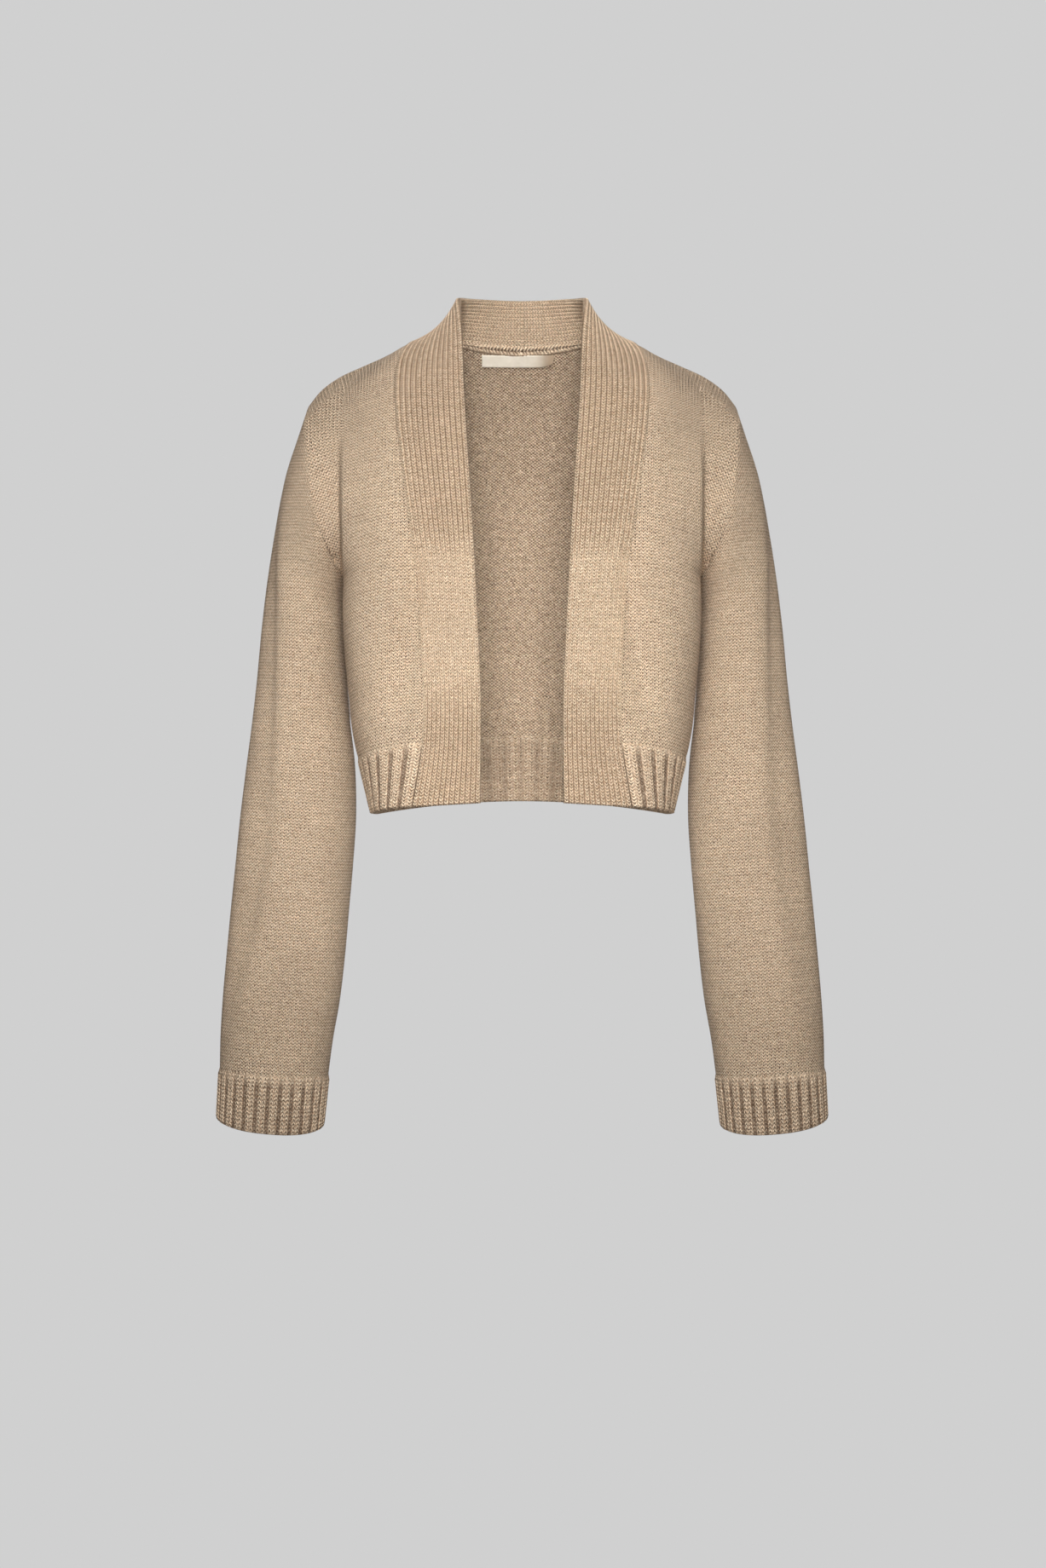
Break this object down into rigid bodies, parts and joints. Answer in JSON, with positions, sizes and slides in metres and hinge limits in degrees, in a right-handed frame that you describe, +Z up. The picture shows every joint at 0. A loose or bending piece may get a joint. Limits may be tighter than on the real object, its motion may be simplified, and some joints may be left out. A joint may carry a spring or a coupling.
{
  "type": "cardigan",
  "caption": "Cropped open-front knitted cardigan with a ribbed band that stands as the collar, long sleeves, and ribbed cuffs and hem, hollow as when worn.",
  "frame": {"origin": "the middle of the neck, level with the back neck seam, where the garment hangs from the wearer's shoulders", "axes": "+X to the wearer's left, +Y to the back, +Z up"},
  "size_m": [0.5336, 0.2166, 0.7307],
  "materials": {
    "back": "plain knit, soft and matt",
    "front_right": "plain knit, soft and matt",
    "front_left": "plain knit, soft and matt",
    "band_right": "rib knit, soft and matt",
    "band_left": "rib knit, soft and matt",
    "hem_back": "rib knit, soft and matt",
    "hem_right": "rib knit, soft and matt",
    "hem_left": "rib knit, soft and matt",
    "sleeve_right": "plain knit, soft and matt",
    "sleeve_left": "plain knit, soft and matt",
    "cuff_right": "rib knit, soft and matt",
    "cuff_left": "rib knit, soft and matt",
    "neck_seam": "linked seam in the same yarn",
    "label": "woven satin ribbon"
  },
  "bodies": {
    "root": {"back": "back", "front_right": "front_right", "front_left": "front_left", "band_right": "band_right", "band_left": "band_left", "hem_back": "hem_back", "hem_right": "hem_right", "hem_left": "hem_left", "sleeve_right": "sleeve_right", "sleeve_left": "sleeve_left", "cuff_right": "cuff_right", "cuff_left": "cuff_left", "neck_seam": "neck_seam", "label": "label"}
  },
  "joints": []
}
